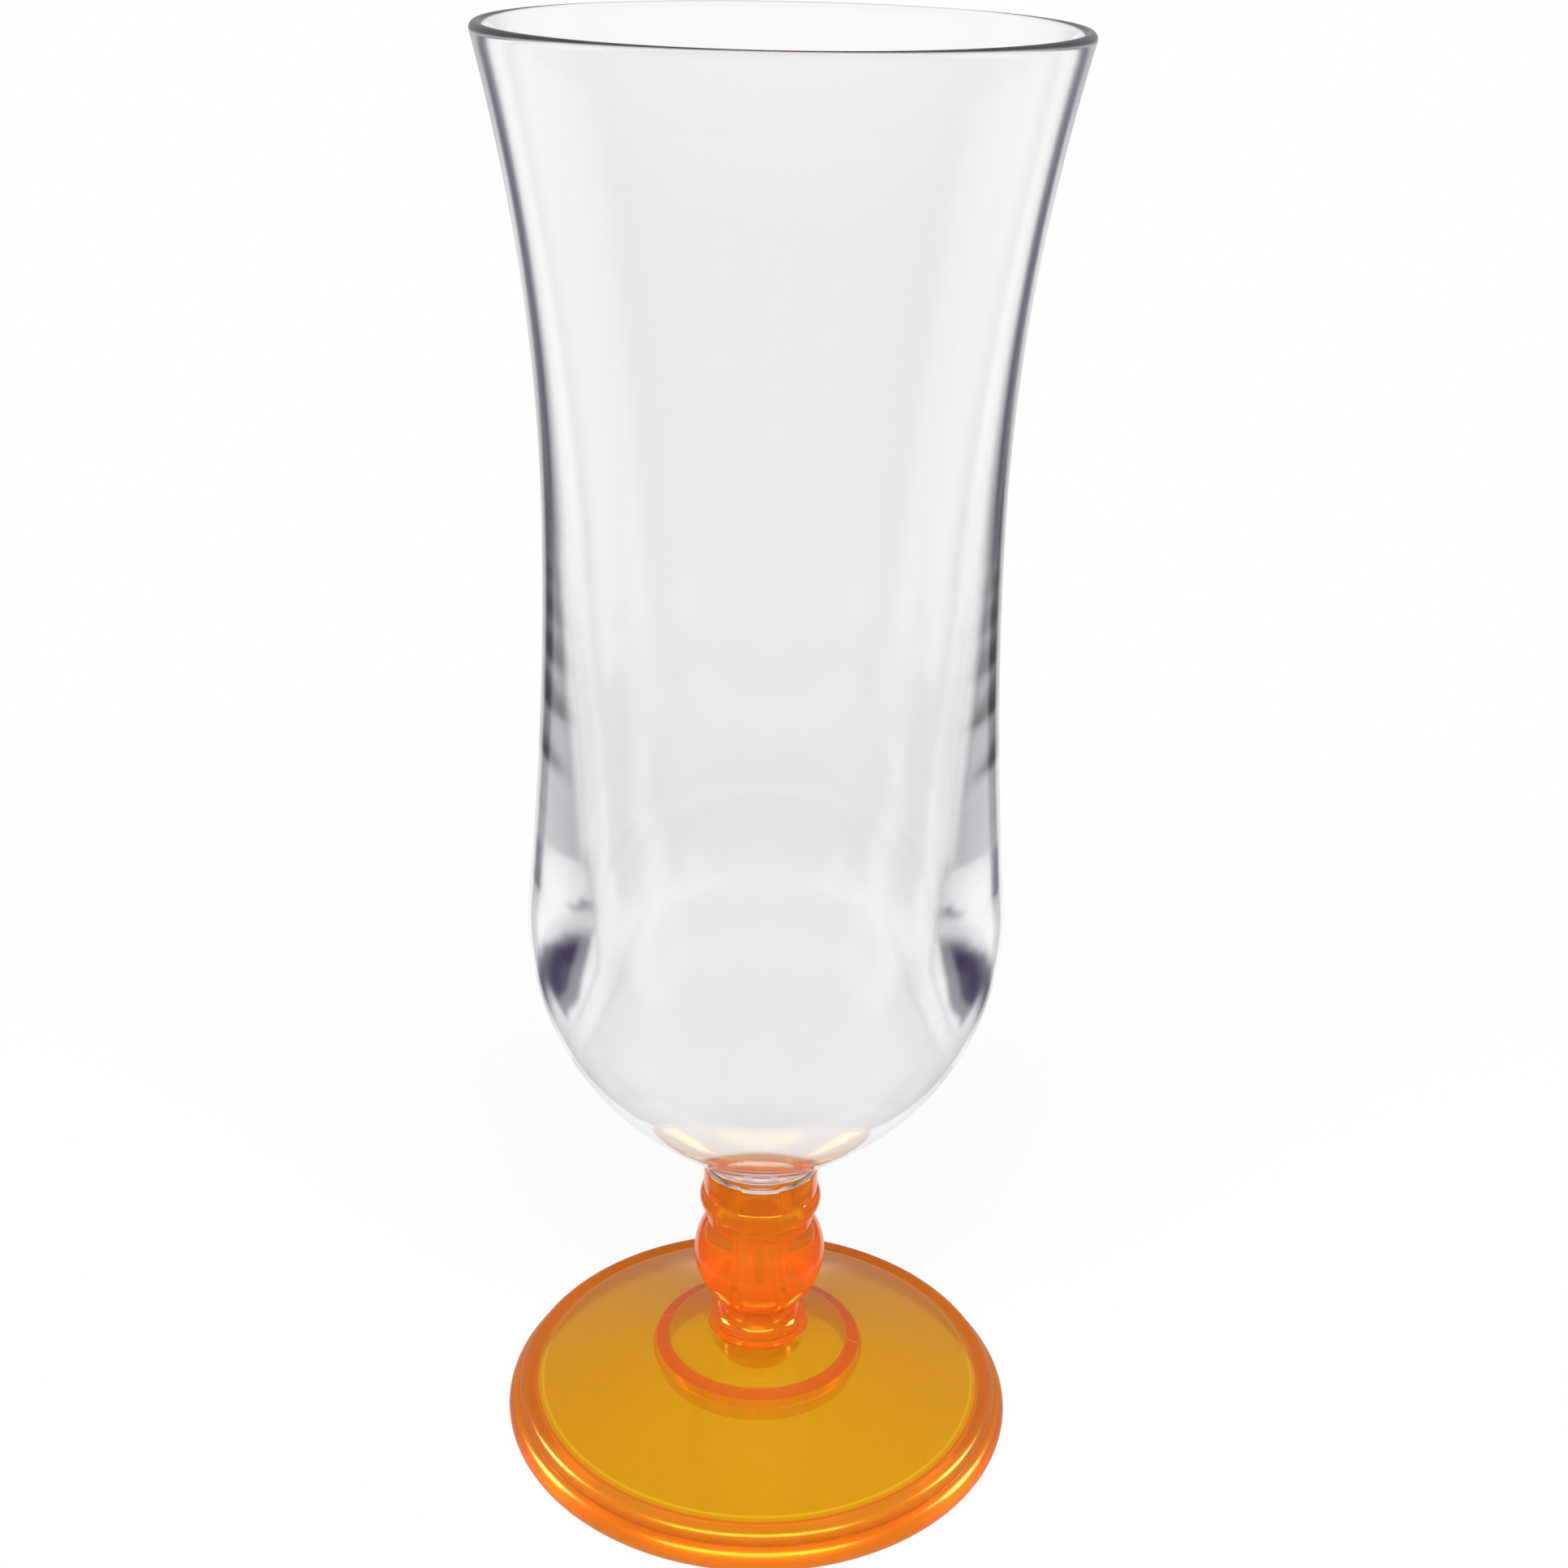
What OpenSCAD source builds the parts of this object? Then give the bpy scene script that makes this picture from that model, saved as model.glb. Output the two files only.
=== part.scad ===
// Hurricane glass: a clear bowl whose keyed spigot stands in the socket of a turned stem,
// and a wide, shallow cone of a foot that the stem is pegged into.
// Millimetres, +Z up. The origin is the middle of the foot's underside.

/* [Bowl] */
// Height of the bowl above the top of the stem's collar
bowl_h = 165; // [150:1:185]
// Outside diameter of the rim
rim_d = 77; // [72:0.5:84]
// Wall thickness at the rim, which the lip rounds over
rim_wall = 1.7; // [1.2:0.1:2.2]
// Outside diameter of the waist
waist_d = 62.2; // [60:0.2:65]
// Height of the waist above the collar
waist_h = 103; // [90:1:112]
// Outside diameter of the bulge
bulge_d = 68.6; // [67:0.2:72]
// Height of the bulge above the collar
bulge_h = 43; // [41:0.5:46]
// Radius of the outer curve below the bulge
base_curve_r = 42; // [40:0.5:44]
// Slope of the bowl's underside where it runs down to the neck, in degrees
base_slope = 41; // [38:0.5:43]

/* [Cavity] */
// Inside diameter where the straight part of the cavity ends and its flare starts
cavity_d = 57; // [52:0.5:58]
// Height of the start of the inner flare above the collar
flare_h = 100; // [90:1:105]
// Draft of the straight part, in degrees
cavity_draft = 1.8; // [0.5:0.1:2.5]
// Height of the bottom of the cavity's dome above the collar
dome_h = 5; // [4.5:0.1:7]
// Diameter of the flat disc in the middle of the cavity's floor
floor_d = 15.4; // [10:0.2:20]

/* [Neck and spigot] */
// Diameter of the bowl's neck, where it stands on the collar
neck_d = 17.4; // [16.6:0.1:19]
// Radius of the fillet between the neck and the underside of the bowl
neck_fillet_r = 1.5; // [0.5:0.1:2]
// Diameter of the spigot below the neck
spigot_d = 13; // [12:0.1:13.6]
// Length of the spigot
spigot_len = 9; // [7:0.2:9.4]
// Diameter of the hollow that cores the spigot from below
spigot_bore_d = 9.6; // [7:0.1:10.4]
// Depth of that hollow above the collar
spigot_bore_rise = 1.8; // [0.5:0.1:2.4]
// Width of the key at the front of the spigot
key_w = 5.6; // [3:0.1:6.5]
// Length of the key below the collar's top
key_len = 5; // [3:0.1:5.4]
// Height of the key above the spigot's surface
key_h = 0.8; // [0.4:0.1:1]
// Height of the tab that carries the key's line up the neck
tab_rise = 1.3; // [0.6:0.1:1.4]
// Height of the tab above the neck's surface
tab_h = 0.25; // [0.1:0.05:0.5]

/* [Stem] */
// Height of the stem from its seat on the foot to the top of its collar
stem_h = 29.4; // [29:0.2:34]
// Diameter of the collar at its top
collar_d = 17.4; // [17:0.1:19]
// Diameter of the bead around the collar
bead_d = 18.6; // [18:0.1:21]
// Radius of the bead's section
bead_r = 2.4; // [2:0.1:2.6]
// Distance of the bead's middle below the collar's top
bead_drop = 5.7; // [5:0.1:6]
// Diameter of the neck between the bead and the knob
upper_neck_d = 16.2; // [15.8:0.1:17]
// Diameter of the knob
knob_d = 20.2; // [19.4:0.1:22]
// Distance of the knob's middle below the collar's top
knob_drop = 15.7; // [15:0.1:16.4]
// Diameter of the waist between the knob and the flange
lower_neck_d = 11.6; // [10.6:0.1:13]
// Diameter of the flange that stands on the foot
flange_d = 15.7; // [14.4:0.1:17]
// Radius of the flange's rounded edge
flange_edge_r = 1.2; // [0.9:0.1:1.5]
// Height of the middle of that edge above the seat
flange_edge_rise = 0.75; // [0.4:0.05:0.85]
// Radius of the hollow curve between the flange and the waist
cove_r = 1.8; // [1.2:0.1:2.2]
// Diameter of the hollow that cores the stem from below
core_d = 5.2; // [3:0.1:6]
// Thickness of the web between that hollow and the socket
web = 1.6; // [1.2:0.1:2.4]

/* [Foot] */
// Diameter of the foot
foot_d = 78.8; // [74:0.2:86]
// Height of the plate's edge above the table
plate_edge_h = 5.9; // [5.6:0.1:6.4]
// Distance of the plate's edge inside the foot's outer edge
plate_inset = 4.4; // [4.2:0.1:5]
// Slope of the plate, in degrees
plate_slope = 19.6; // [17:0.2:22]
// Thickness of the plate, measured upright
plate_t = 2.2; // [1.6:0.1:2.6]
// Radius of the lower bead's section
low_bead_r = 2.1; // [1.9:0.05:2.3]
// Depth by which the lower bead is cut flat where it stands
low_bead_flat = 0.15; // [0.1:0.05:0.4]
// Radius of the upper bead's section
top_bead_r = 1.6; // [1.4:0.05:1.8]
// Distance of the upper bead inside the foot's outer edge
top_bead_step = 1.65; // [1.2:0.05:1.9]
// Height of the upper bead's crest above the plate's edge
top_bead_rise = 0.2; // [0:0.05:0.4]
// Distance from the middle of the lower bead in to the inner wall of the ring it stands on
ring_reach = 1.5; // [1.2:0.1:1.8]
// Outer diameter of the rib below the plate
rib_d = 32; // [28:0.5:40]
// Thickness of the rib where it leaves the plate
rib_t = 2; // [1.2:0.1:2.6]
// Distance that the rib reaches below the plate's underside
rib_depth = 2.6; // [1:0.1:3.4]
// Amount by which the rib thins towards its tip, on its outer side
rib_taper = 0.5; // [0:0.1:0.8]
// Outer diameter of the hub below the plate
hub_d = 11.2; // [10.4:0.1:12]
// Distance that the hub reaches below the plate's underside
hub_depth = 3.6; // [2:0.1:4]
// Diameter of the stem's peg, which the hub holds
peg_d = 8.4; // [7.8:0.1:8.8]
// Distance from the end of the peg to the end of the hub
peg_short = 0.4; // [0.2:0.1:1]

/* [Fits] */
// Radial clearance of the spigot in its socket
spigot_fit = 0.06; // [0.03:0.01:0.09]
// Clearance below the end of the spigot
spigot_end_gap = 0.5; // [0.3:0.1:0.8]
// Clearance around the key
key_fit = 0.2; // [0.12:0.01:0.25]
// Radial clearance of the peg in the hub
peg_fit = 0.03; // [0.01:0.01:0.06]

/* [Hidden] */
$fn = 96;
// Steps along each arc of an outline
arc_steps = 14;
// How far a cut runs past the face that it opens
overrun = 1;
// How far an added piece sinks into the surface that carries it
sink = 0.4;

clear_colour = [0.93, 0.93, 0.94, 0.45];
stem_colour = [0.95, 0.42, 0.12, 0.9];
foot_colour = [0.88, 0.58, 0.13, 0.85];

// Radii of the bowl's outline
rim_r = rim_d / 2;
waist_r = waist_d / 2;
bulge_r = bulge_d / 2;
neck_r = neck_d / 2;
lip_r = rim_wall / 2;
lip_mid = [rim_r - lip_r, bowl_h - lip_r];
base_mid = [bulge_r - base_curve_r, bulge_h];

// Radius of an arc that leaves the waist upright and ends tangent to a circle of radius r,
// whose middle lies inward by minus dx and away along the axis by dz
function waist_arc_r(dx, dz, r) = (dx * dx + dz * dz - r * r) / (2 * (r - dx));
flare_r = waist_arc_r(waist_r - lip_mid[0], lip_mid[1] - waist_h, lip_r);
body_r = waist_arc_r(waist_r - base_mid[0], waist_h - bulge_h, base_curve_r);
flare_turn = asin((lip_mid[1] - waist_h) / (flare_r + lip_r));
body_turn = asin((waist_h - bulge_h) / (body_r + base_curve_r));

// The underside's cone touches the base curve at this angle and meets the neck at this height
base_end = base_slope - 90;
cone_top = base_mid + base_curve_r * [cos(base_end), sin(base_end)];
neck_h = cone_top[1] - (cone_top[0] - neck_r) * tan(base_slope);
fillet_mid = [neck_r + neck_fillet_r,
    neck_h + neck_fillet_r * tan(base_slope) - neck_fillet_r / cos(base_slope)];

// The cavity: a dome, a straight drafted wall and a flare that ends in the lip
cavity_r = cavity_d / 2;
flare_start = [cavity_r, flare_h];
draft_normal = [cos(cavity_draft), -sin(cavity_draft)];
to_lip = lip_mid - flare_start;
inner_flare_r = (to_lip * to_lip - lip_r * lip_r) / (2 * (to_lip * draft_normal - lip_r));
inner_flare_mid = flare_start + inner_flare_r * draft_normal;
inner_turn = asin((lip_mid[1] - inner_flare_mid[1]) / (inner_flare_r - lip_r));
dome_r = (cavity_r * cos(cavity_draft) - (flare_h - dome_h) * sin(cavity_draft))
    / (1 - sin(cavity_draft));
dome_mid_h = dome_h + dome_r;
floor_r = floor_d / 2;
floor_angle = acos(floor_r / dome_r);

// Spigot, key and socket
spigot_r = spigot_d / 2;
socket_r = spigot_r + spigot_fit;
socket_depth = spigot_len + spigot_end_gap;
key_reach = spigot_r + key_h;
tab_reach = neck_r + tab_h;

// Heights above the table
foot_r = foot_d / 2;
plate_edge_r = foot_r - plate_inset;
ring_in_r = foot_r - low_bead_r - ring_reach;
hub_r = hub_d / 2;
seat_r = flange_d / 2;
seat_h = plate_edge_h + (plate_edge_r - seat_r) * tan(plate_slope);
collar_h = seat_h + stem_h;
knob_r = knob_d / 2;
knob_h = stem_h - knob_drop;
core_top = stem_h - socket_depth - web;
collar_r = collar_d / 2;
upper_neck_r = upper_neck_d / 2;
lower_neck_r = lower_neck_d / 2;
flange_r = flange_d / 2;
peg_r = peg_d / 2;
hub_end = seat_h - plate_t - hub_depth;
peg_len = seat_h - hub_end - peg_short;
rib_r = rib_d / 2;
rib_in_r = rib_r - rib_t;

// Height of the plate's top surface at a radius, and that of its underside
function plate_top(r) = plate_edge_h + (plate_edge_r - r) * tan(plate_slope);
function plate_under(r) = plate_top(r) - plate_t;

// Points along an arc, from one angle to another
function arc(mid, r, from, to) =
    [for (i = [0 : arc_steps]) let (a = from + (to - from) * i / arc_steps)
        mid + r * [cos(a), sin(a)]];

// The bowl's outside, from the neck up to the lip
function bowl_outside() = concat(
    [[neck_r, 0]],
    arc(fillet_mid, neck_fillet_r, 180, 90 + base_slope),
    arc(base_mid, base_curve_r, base_end, body_turn),
    arc([waist_r + body_r, waist_h], body_r, 180 + body_turn, 180),
    arc([waist_r + flare_r, waist_h], flare_r, 180, 180 - flare_turn));

// The bowl's inside, from the lip down to the floor
function bowl_inside() = concat(
    arc(inner_flare_mid, inner_flare_r, 180 - inner_turn, 180 - cavity_draft),
    arc([0, dome_mid_h], dome_r, -cavity_draft, -floor_angle));

// A block across the front of the bowl, which a cylinder then rounds off
module front_block(w, from, h, reach) {
    translate([-w / 2, -reach, from])
        cube([w, reach, h]);
}

module key(w, reach, from, h) {
    intersection() {
        front_block(w, from, h, reach + overrun);
        translate([0, 0, from])
            cylinder(r = reach, h = h);
    }
}

module bowl() {
    color(clear_colour)
    translate([0, 0, collar_h])
    difference() {
        union() {
            rotate_extrude()
                polygon(concat(
                    [[0, 0]],
                    bowl_outside(),
                    arc(lip_mid, lip_r, -flare_turn, 180 - inner_turn),
                    bowl_inside(),
                    [[0, dome_mid_h - dome_r * sin(floor_angle)]]));
            translate([0, 0, -spigot_len])
                cylinder(r = spigot_r, h = spigot_len + sink);
            key(key_w, key_reach, -key_len, key_len + sink);
            key(key_w, tab_reach, 0, tab_rise);
        }
        translate([0, 0, -spigot_len - overrun])
            cylinder(d = spigot_bore_d, h = spigot_len + overrun + spigot_bore_rise);
    }
}

// One half of the stem's outline, from its seat at zero to the top of its collar
module stem_outline() {
    square([lower_neck_r, knob_h]);
    square([flange_r - flange_edge_r, flange_edge_rise + flange_edge_r]);
    intersection() {
        translate([flange_r - flange_edge_r, flange_edge_rise])
            circle(flange_edge_r);
        square([flange_r, stem_h]);
    }
    difference() {
        translate([0, flange_edge_rise])
            square([lower_neck_r + cove_r, flange_edge_r + cove_r]);
        translate([lower_neck_r + cove_r, flange_edge_rise + flange_edge_r + cove_r])
            circle(cove_r);
    }
    intersection() {
        translate([0, knob_h])
            circle(knob_r);
        square([knob_r, stem_h]);
    }
    translate([0, knob_h])
        square([upper_neck_r, stem_h - knob_h - bead_drop]);
    translate([bead_d / 2 - bead_r, stem_h - bead_drop])
        circle(bead_r);
    translate([0, stem_h - bead_drop])
        square([collar_r, bead_drop]);
}

module stem() {
    color(stem_colour)
    translate([0, 0, seat_h])
    difference() {
        union() {
            rotate_extrude()
                stem_outline();
            translate([0, 0, -peg_len])
                cylinder(r = peg_r, h = peg_len + sink);
        }
        translate([0, 0, stem_h - socket_depth])
            cylinder(r = socket_r, h = socket_depth + overrun);
        translate([0, 0, stem_h])
            key(key_w + 2 * key_fit, key_reach + key_fit, -key_len - key_fit,
                key_len + key_fit + overrun);
        translate([0, 0, -peg_len - overrun])
            cylinder(d = core_d, h = peg_len + overrun + core_top);
    }
}

// The thin cone of the foot, with a flat seat for the stem in its middle
module plate() {
    join_r = plate_edge_r + top_bead_r;
    rotate_extrude()
        polygon([
            [0, seat_h],
            [seat_r, seat_h],
            [join_r, plate_top(join_r)],
            [join_r, plate_under(join_r)],
            [seat_r, plate_under(seat_r)],
            [0, plate_under(seat_r)]]);
}

// The rib below the plate, which thins towards its tip
module rib() {
    tip_h = plate_under(rib_r) - rib_depth;
    rotate_extrude()
        polygon([
            [rib_in_r, plate_under(rib_in_r) + sink],
            [rib_r, plate_under(rib_r) + sink],
            [rib_r, plate_under(rib_r)],
            [rib_r - rib_taper, tip_h],
            [rib_in_r, tip_h]]);
}

// A round bead around the foot, given by its outer radius, its crest and its section, and cut
// off below the plate where it would bulge into the foot's hollow
module bead(reach, crest_h, section_r) {
    cut_r = reach - 2 * section_r - overrun;
    difference() {
        rotate_extrude()
            translate([reach - section_r, crest_h - section_r])
                circle(section_r);
        rotate_extrude()
            polygon([
                [cut_r, -overrun],
                [ring_in_r, -overrun],
                [ring_in_r, plate_under(ring_in_r) + sink],
                [cut_r, plate_under(cut_r) + sink]]);
    }
}

module foot() {
    ring_h = plate_edge_h + top_bead_rise - top_bead_r;
    color(foot_colour)
    difference() {
        union() {
            plate();
            rib();
            bead(foot_r, 2 * low_bead_r - low_bead_flat, low_bead_r);
            bead(foot_r - top_bead_step, plate_edge_h + top_bead_rise, top_bead_r);
            rotate_extrude()
                translate([ring_in_r, 0])
                    square([ring_reach, ring_h]);
            translate([0, 0, hub_end])
                cylinder(r = hub_r, h = seat_h - hub_end - sink);
        }
        translate([0, 0, -low_bead_r])
            cylinder(r = foot_r + overrun, h = low_bead_r);
        translate([0, 0, hub_end - overrun])
            cylinder(r = peg_r + peg_fit, h = seat_h - hub_end + 2 * overrun);
    }
}

bowl();
stem();
foot();
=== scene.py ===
import math

import bmesh
import bpy
from mathutils import Matrix, Vector


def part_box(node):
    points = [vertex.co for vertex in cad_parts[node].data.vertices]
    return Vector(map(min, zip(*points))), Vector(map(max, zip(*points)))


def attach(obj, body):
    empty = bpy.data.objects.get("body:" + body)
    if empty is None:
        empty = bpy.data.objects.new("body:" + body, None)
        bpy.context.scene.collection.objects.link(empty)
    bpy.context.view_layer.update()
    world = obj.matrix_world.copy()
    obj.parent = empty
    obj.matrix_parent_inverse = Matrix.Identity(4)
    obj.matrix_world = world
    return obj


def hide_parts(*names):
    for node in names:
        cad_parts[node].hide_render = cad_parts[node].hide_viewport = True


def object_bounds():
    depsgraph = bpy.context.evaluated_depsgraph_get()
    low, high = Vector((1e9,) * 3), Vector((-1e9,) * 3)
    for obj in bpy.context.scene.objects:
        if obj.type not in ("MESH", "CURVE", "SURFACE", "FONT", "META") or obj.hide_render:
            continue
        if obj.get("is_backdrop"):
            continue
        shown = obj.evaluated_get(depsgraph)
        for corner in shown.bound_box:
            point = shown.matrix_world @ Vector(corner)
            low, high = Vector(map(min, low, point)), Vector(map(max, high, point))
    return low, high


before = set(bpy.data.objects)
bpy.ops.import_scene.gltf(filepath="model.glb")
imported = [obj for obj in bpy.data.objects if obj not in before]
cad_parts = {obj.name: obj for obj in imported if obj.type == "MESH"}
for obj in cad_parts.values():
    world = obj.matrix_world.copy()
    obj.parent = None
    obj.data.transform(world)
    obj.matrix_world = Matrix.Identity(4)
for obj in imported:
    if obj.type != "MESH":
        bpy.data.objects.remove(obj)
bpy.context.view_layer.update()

# Sizes of the moulded pieces, in metres. Heights on the bowl are measured from the collar's top,
# heights on the stem from its seat on the foot, and heights on the foot from the table.
MM = 0.001

RIM_WALL = 1.7 * MM
WAIST_R = 31.1 * MM
WAIST_H = 103 * MM
BULGE_R = 34.3 * MM
BULGE_H = 43 * MM
BASE_CURVE_R = 42 * MM
BASE_SLOPE = 41
CAVITY_R = 28.5 * MM
FLARE_H = 100 * MM
CAVITY_DRAFT = 1.8
DOME_H = 5 * MM
FLOOR_R = 7.7 * MM
NECK_R = 8.7 * MM
NECK_FILLET_R = 1.5 * MM
SPIGOT_R = 6.5 * MM
SPIGOT_LEN = 9 * MM
SPIGOT_BORE_R = 4.8 * MM
SPIGOT_BORE_RISE = 1.8 * MM
KEY_W = 5.6 * MM
KEY_LEN = 5 * MM
KEY_H = 0.8 * MM
TAB_RISE = 1.3 * MM
TAB_H = 0.25 * MM
INSET_W = 3.6 * MM
INSET_LOW = 0.3 * MM
INSET_HIGH = 0.95 * MM

COLLAR_R = 8.7 * MM
BEAD_R = 2.4 * MM
BEAD_REACH = 9.3 * MM
BEAD_DROP = 5.7 * MM
UPPER_NECK_R = 8.1 * MM
KNOB_R = 10.1 * MM
KNOB_DROP = 15.7 * MM
LOWER_NECK_R = 5.8 * MM
FLANGE_R = 7.85 * MM
FLANGE_EDGE_R = 1.2 * MM
FLANGE_EDGE_RISE = 0.75 * MM
COVE_R = 1.8 * MM
CORE_R = 2.6 * MM
WEB = 1.6 * MM
SOCKET_GAP = 0.06 * MM
SOCKET_END_GAP = 0.5 * MM
KEY_GAP = 0.2 * MM

PLATE_EDGE_H = 5.9 * MM
PLATE_INSET = 4.4 * MM
PLATE_SLOPE = 19.6
PLATE_T = 2.2 * MM
LOW_BEAD_R = 2.1 * MM
LOW_BEAD_FLAT = 0.15 * MM
TOP_BEAD_R = 1.6 * MM
TOP_BEAD_STEP = 1.65 * MM
TOP_BEAD_RISE = 0.2 * MM
RING_REACH = 1.5 * MM
RIB_R = 16 * MM
RIB_T = 2 * MM
RIB_DEPTH = 2.6 * MM
RIB_TAPER = 0.5 * MM
HUB_R = 5.6 * MM
HUB_DEPTH = 3.6 * MM
PEG_R = 4.2 * MM
PEG_GAP = 0.03 * MM

# Air left between two mouldings that stand on each other, so that light finds both surfaces
FACE_GAP = 0.02 * MM
# How far a block that is joined to a round piece, or cut from it, reaches past its surface
KEY_SINK = 0.6 * MM
# Rounding of moulded edges, and the distance of the rings that hold flat faces flat beside them
EDGE_R = 0.2 * MM
HOLD = 0.15 * MM
# An arc has a ring of points at least every so many degrees and every so much of its length
ARC_STEP = 5
ARC_LENGTH = 1.2 * MM
SHARP_ANGLE = math.radians(28)
# The plate's two weld lines: their directions in degrees from +X, how far out they run, and how
# far from their middle they start to fade and are gone
WELD_TURNS = (-6, 164.5)
WELD_END = 32 * MM
WELD_WIDTH = (0.05 * MM, 0.22 * MM)
# Lines along the plate's edge, each from and to how far outside it: an orange one of painted glow
# and a pale one of painted highlight
PAINTED_GLOW_SPAN = (-0.25 * MM, 0.2 * MM)
PAINTED_HIGHLIGHT_SPAN = (-1.1 * MM, -0.8 * MM)
# How far up the painted orange glow on the rib's end reaches
PAINTED_TIP_REACH = 0.3 * MM
# Flow marks stand about so far apart across the way that the melt ran, and are so deep
BOWL_MARKS = 14.3 * MM
STEM_MARKS = 6.25 * MM
FOOT_MARKS = 20 * MM
MARK_DEPTH = 0.02 * MM
# How many faces each piece has round the axis
BOWL_STEPS = 240
STEM_STEPS = 160
FOOT_STEPS = 256

# What light that a surface has thrown back finds around the glass is painted into the floor and
# the world, for that light alone. It stands on a strip of white paper, given by half its width, by
# how much it narrows for each metre behind the glass, and by its front end. Angles are degrees from
# straight behind, each with half the softness of its edge: the paper's upright back ends at the
# first. Light from high in the walls then finds a painted dark flag and past it white again. Light
# from low in the walls finds a painted black card, then grey, then white.
PAPER_HALF = 0.131
PAPER_TAPER = 0.23
PAPER_FRONT = 0.1
PAPER_SOFT = 0.012
# Close to the glass, the paper has painted shade and is a little less bright
PAPER_RANGE = (0.15, 0.35)
PAPER_NEAR_PAINTED_SHADE = 0.75
BACK_EDGE = (21, 6)
HIGH_EDGE = (37, 9)
HIGH_WHITE = 0.94
CARD_EDGE = (55, 3)
CARD_GREY = 0.27
SIDE_EDGE = (66, 3)
ROOM_EDGE = (90, 10)
# Light from inside a wall finds a painted pale ceiling: how far up it points where the ceiling
# starts and where it is whole
CEILING_RANGE = (0.05, 0.4)
CEILING_WHITE = 0.75
# The heights between which light in a wall passes from the black card to the flag
CARD_LEVEL = (0.11, 0.12)
# Far from the glass, the card's edges turn by so much
FAR_RANGE = (0.2, 0.32)
FAR_TURN = 9
# Where light leaves a wall on its way to the floor
LEAVES_ASIDE = 0.031
LEAVES_AHEAD = 0.011
# After so many turns inside a wall, light is an even mixture of the surroundings, and this white
MANY_TURNS = (5.5, 6.5)
MIXTURE_WHITE = 0.5
# Light thrown back by an outside surface finds a narrower painted flag, and a painted grey horizon
OUTER_START = (27, 4)
OUTER_END = (42, 4)
OUTER_DARK = 0.9
OUTER_ROOM = (72, 12)
# The base's outside surfaces show painted grey cards, as they show the painted far horizon
BASE_LEVEL = (0.045, 0.06)
BASE_WHITE = 0.45
HORIZON_RANGE = (0.8, 1.4)
# What is dark in the painted surroundings is a dim room of this colour
PAINTED_ROOM = "#3A324E"

# The paper floor: its radius, the sides of its outline, and how far it lies below the foot
SWEEP_R = 4
SWEEP_SIDES = 64
SWEEP_DROP = 0.05 * MM
# Around the glass, fading out between two distances from its axis, the paper carries painted
# shade: it is this bright where it is seen through the glass. It also gives up this share of its
# white to shadow
UNDER_RANGE = (0.08, 0.35)
UNDER_GLASS_PAINTED_SHADE = 0.93
UNDER_SHADE = 0.1

# The lamps: a long softbox over the camera for everything but the clear bowl, a brighter one that
# only shows in the foot's gloss, and one on either side that only shows in the gloss of the base
FRONT_AT = (0, -0.62, 0.78)
FRONT_AIM = (0, 0, 0.03)
FRONT_SIZE = (1.3, 0.35)
FRONT_POWER = 15
GLOSS_AT = (0, -0.66, 0.7)
GLOSS_AIM = (0, 0, 0.01)
GLOSS_SIZE = (1.2, 0.35)
GLOSS_POWER = 14
SIDE_AT = (0.62, 0.14, 0.42)
SIDE_AIM = (0, 0, 0.02)
SIDE_SIZE = (0.26, 0.26)
SIDE_POWER = 6.5

# Light is thrown back many times inside a clear wall before it finds its way out
BOUNCES = 24
GLOSSY_BOUNCES = 20

# The photograph's camera: a short distance from the glass, looking down, a little tilted
CAMERA_AT = (0, -0.2859, 0.2315)
CAMERA_PITCH = math.radians(90 - 23.39)
CAMERA_ROLL = math.radians(1.12)
CAMERA_LENS = 50.55
CAMERA_SHIFT = 0.00994
CAMERA_NEAR = 0.01

foot_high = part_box("foot")[1]
stem_low, stem_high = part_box("stem")
bowl_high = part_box("bowl")[1]
foot_r = foot_high.x
seat_h = foot_high.z
collar_h = stem_high.z
stem_h = collar_h - seat_h
rim_r = bowl_high.x
bowl_h = bowl_high.z - collar_h


def point(r, h):
    return Vector((r, h))


def turned(angle):
    """The unit direction at an angle in an outline, in degrees from straight outward."""
    return Vector((math.cos(math.radians(angle)), math.sin(math.radians(angle))))


def angle_at(mid, at):
    """The angle of a point of an outline as seen from the middle of its arc, in degrees."""
    return math.degrees(math.atan2(at.y - mid.y, at.x - mid.x))


def arc(mid, radius, start, end):
    """Points along an arc of an outline, from one angle to another."""
    turn = end - start
    length = abs(radius * math.radians(turn))
    steps = max(2, math.ceil(abs(turn) / ARC_STEP), math.ceil(length / ARC_LENGTH))
    return [mid + radius * turned(start + turn * i / steps) for i in range(steps + 1)]


def rounded(before, at, after, radius=EDGE_R):
    """A corner of an outline, rounded between its two neighbours."""
    back, on = (before - at).normalized(), (after - at).normalized()
    half = back.angle(on) / 2
    mid = at + (back + on).normalized() * radius / math.sin(half)
    reach = radius / math.tan(half)
    start = angle_at(mid, at + back * reach)
    turn = (angle_at(mid, at + on * reach) - start + 180) % 360 - 180
    return arc(mid, radius, start, start + turn)


def softened(points, radius=EDGE_R):
    """A run of corners, all rounded but the first and the last."""
    made = [points[0]]
    for before, at, after in zip(points, points[1:], points[2:]):
        made += rounded(before, at, after, radius)
    return made + [points[-1]]


def circles_meet(mid_a, radius_a, mid_b, radius_b):
    """The point right of the line from a to b at which two circles cross."""
    gap = mid_b - mid_a
    along = (gap.length_squared + radius_a ** 2 - radius_b ** 2) / (2 * gap.length)
    across = math.sqrt(radius_a ** 2 - along ** 2)
    on = gap.normalized()
    return mid_a + along * on + across * Vector((on.y, -on.x))


def line_meets(start, direction, mid, radius):
    """The first point at which a line that comes from outside reaches a circle."""
    on = direction.normalized()
    back = (start - mid).dot(on)
    return start + on * (-back - math.sqrt(back ** 2 - (start - mid).length_squared + radius ** 2))


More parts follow.
